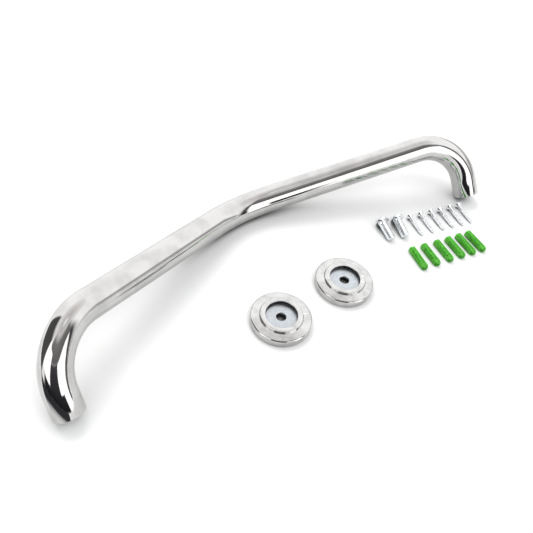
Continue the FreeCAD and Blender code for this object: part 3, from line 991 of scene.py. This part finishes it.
def card(name, azimuths, elevations, distance, low_tone, high_tone, fade, tint):
    """Curved card that only reflections see: grey from low edge to high edge, fading over some degrees."""
    a0, a1 = (math.radians(a) for a in azimuths)
    e0, e1 = (math.radians(e) for e in elevations)
    ring = distance * math.cos(e0)
    piece = one_point(name, (ring * math.cos(a0), ring * math.sin(a0), distance * math.sin(e0)))
    bpy.ops.mesh.spin(steps=12, angle=e1 - e0, center=(0, 0, 0), axis=(-math.sin(a0), math.cos(a0), 0))
    bpy.ops.mesh.select_all(action="SELECT")
    bpy.ops.mesh.spin(steps=40, angle=a0 - a1, center=(0, 0, 0), axis=(0, 0, 1))
    bpy.ops.object.mode_set(mode="OBJECT")
    made, nodes = blank(name)
    middle = (a0 + a1) / 2
    turned = nodes.add("ShaderNodeVectorRotate", {"rotation_type": "Z_AXIS"}, Angle=-middle)
    nodes.set(turned, "Vector", nodes.add("ShaderNodeTexCoord").outputs["Object"])
    parts = nodes.add("ShaderNodeSeparateXYZ", Vector=turned.outputs[0]).outputs
    rise = nodes.math("ARCSINE", nodes.math("DIVIDE", parts[2], distance))
    round_by = nodes.math("ABSOLUTE", nodes.math("ARCTAN2", parts[1], parts[0]))
    tone = nodes.span(rise, e0, e1, low_tone, high_tone)
    side, top = (math.radians(f) for f in fade)
    mask = nodes.span(nodes.math("SUBTRACT", (a1 - a0) / 2, round_by), 0.0, side)
    mask = nodes.math("MULTIPLY", mask, nodes.span(nodes.math("SUBTRACT", e1, rise), 0.0, top))
    mask = nodes.math("MULTIPLY", mask, nodes.span(nodes.math("SUBTRACT", rise, e0), 0.0, min(top, 0.01)))
    faded(nodes, mask, nodes.add("ShaderNodeEmission", Color=tint, Strength=tone))
    reflections_only(piece, made)


def dark_bench(centre, near, far, azimuths):
    """Dark patch on the bench beside the near foot, seen only in reflections."""
    a0, a1 = (math.radians(a) for a in azimuths)
    piece = one_point("dark bench", (near * math.cos(a0), near * math.sin(a0), 0))
    outwards = (far - near) * math.cos(a0), (far - near) * math.sin(a0), 0
    bpy.ops.mesh.extrude_vertices_move(TRANSFORM_OT_translate={"value": outwards})
    bpy.ops.mesh.select_all(action="SELECT")
    bpy.ops.mesh.spin(steps=24, angle=a0 - a1, center=(0, 0, 0), axis=(0, 0, 1))
    bpy.ops.object.mode_set(mode="OBJECT")
    piece.location = (centre[0], centre[1], 0.0005)
    made, nodes = blank("dark bench")
    reach = nodes.add("ShaderNodeVectorMath", {"operation": "LENGTH"})
    nodes.set(reach, "0", nodes.add("ShaderNodeTexCoord").outputs["Object"])
    mask = nodes.span(reach.outputs["Value"], near, near + 0.05)
    faded(nodes, mask, nodes.add("ShaderNodeEmission", Color=(0.9, 0.88, 1, 1), Strength=0.06))
    reflections_only(piece, made)


def lamp(name, azimuth, elevation, distance, size, power):
    a, e = math.radians(azimuth), math.radians(elevation)
    at = Vector((math.cos(e) * math.cos(a), math.cos(e) * math.sin(a), math.sin(e))) * distance
    data = bpy.data.lights.new(name, "AREA")
    data.shape = "RECTANGLE"
    data.size, data.size_y = size
    data.energy = power
    thing = bpy.data.objects.new(name, data)
    bpy.context.scene.collection.objects.link(thing)
    thing.location = at
    thing.rotation_euler = (-at).to_track_quat("-Z", "Y").to_euler()
    thing.visible_camera = False
    thing.visible_glossy = False


def camera():
    """Camera from above the left foot, rolled a little."""
    data = bpy.data.cameras.new("camera")
    data.lens = LENS
    data.sensor_width = 36.0
    data.clip_start = 0.01
    thing = bpy.data.objects.new("camera", data)
    bpy.context.scene.collection.objects.link(thing)
    look = CAMERA_AIM.to_track_quat("-Z", "Y").to_matrix().to_4x4()
    thing.matrix_world = Matrix.Translation(CAMERA_AT) @ look @ Matrix.Rotation(CAMERA_ROLL, 4, "Z")
    bpy.context.scene.camera = thing


pale_floor()
white_world()
for entry in CARDS:
    card(*entry)
dark_bench(centre=(-0.235, -0.03), near=0.02, far=2.4, azimuths=(158, 262))
lamp("key", 85, 54, 3.0, (2.6, 1.3), 44)
lamp("fill", -68, 66, 2.5, (1.8, 1.4), 15)
camera()
bpy.context.scene.view_settings.view_transform = "Standard"
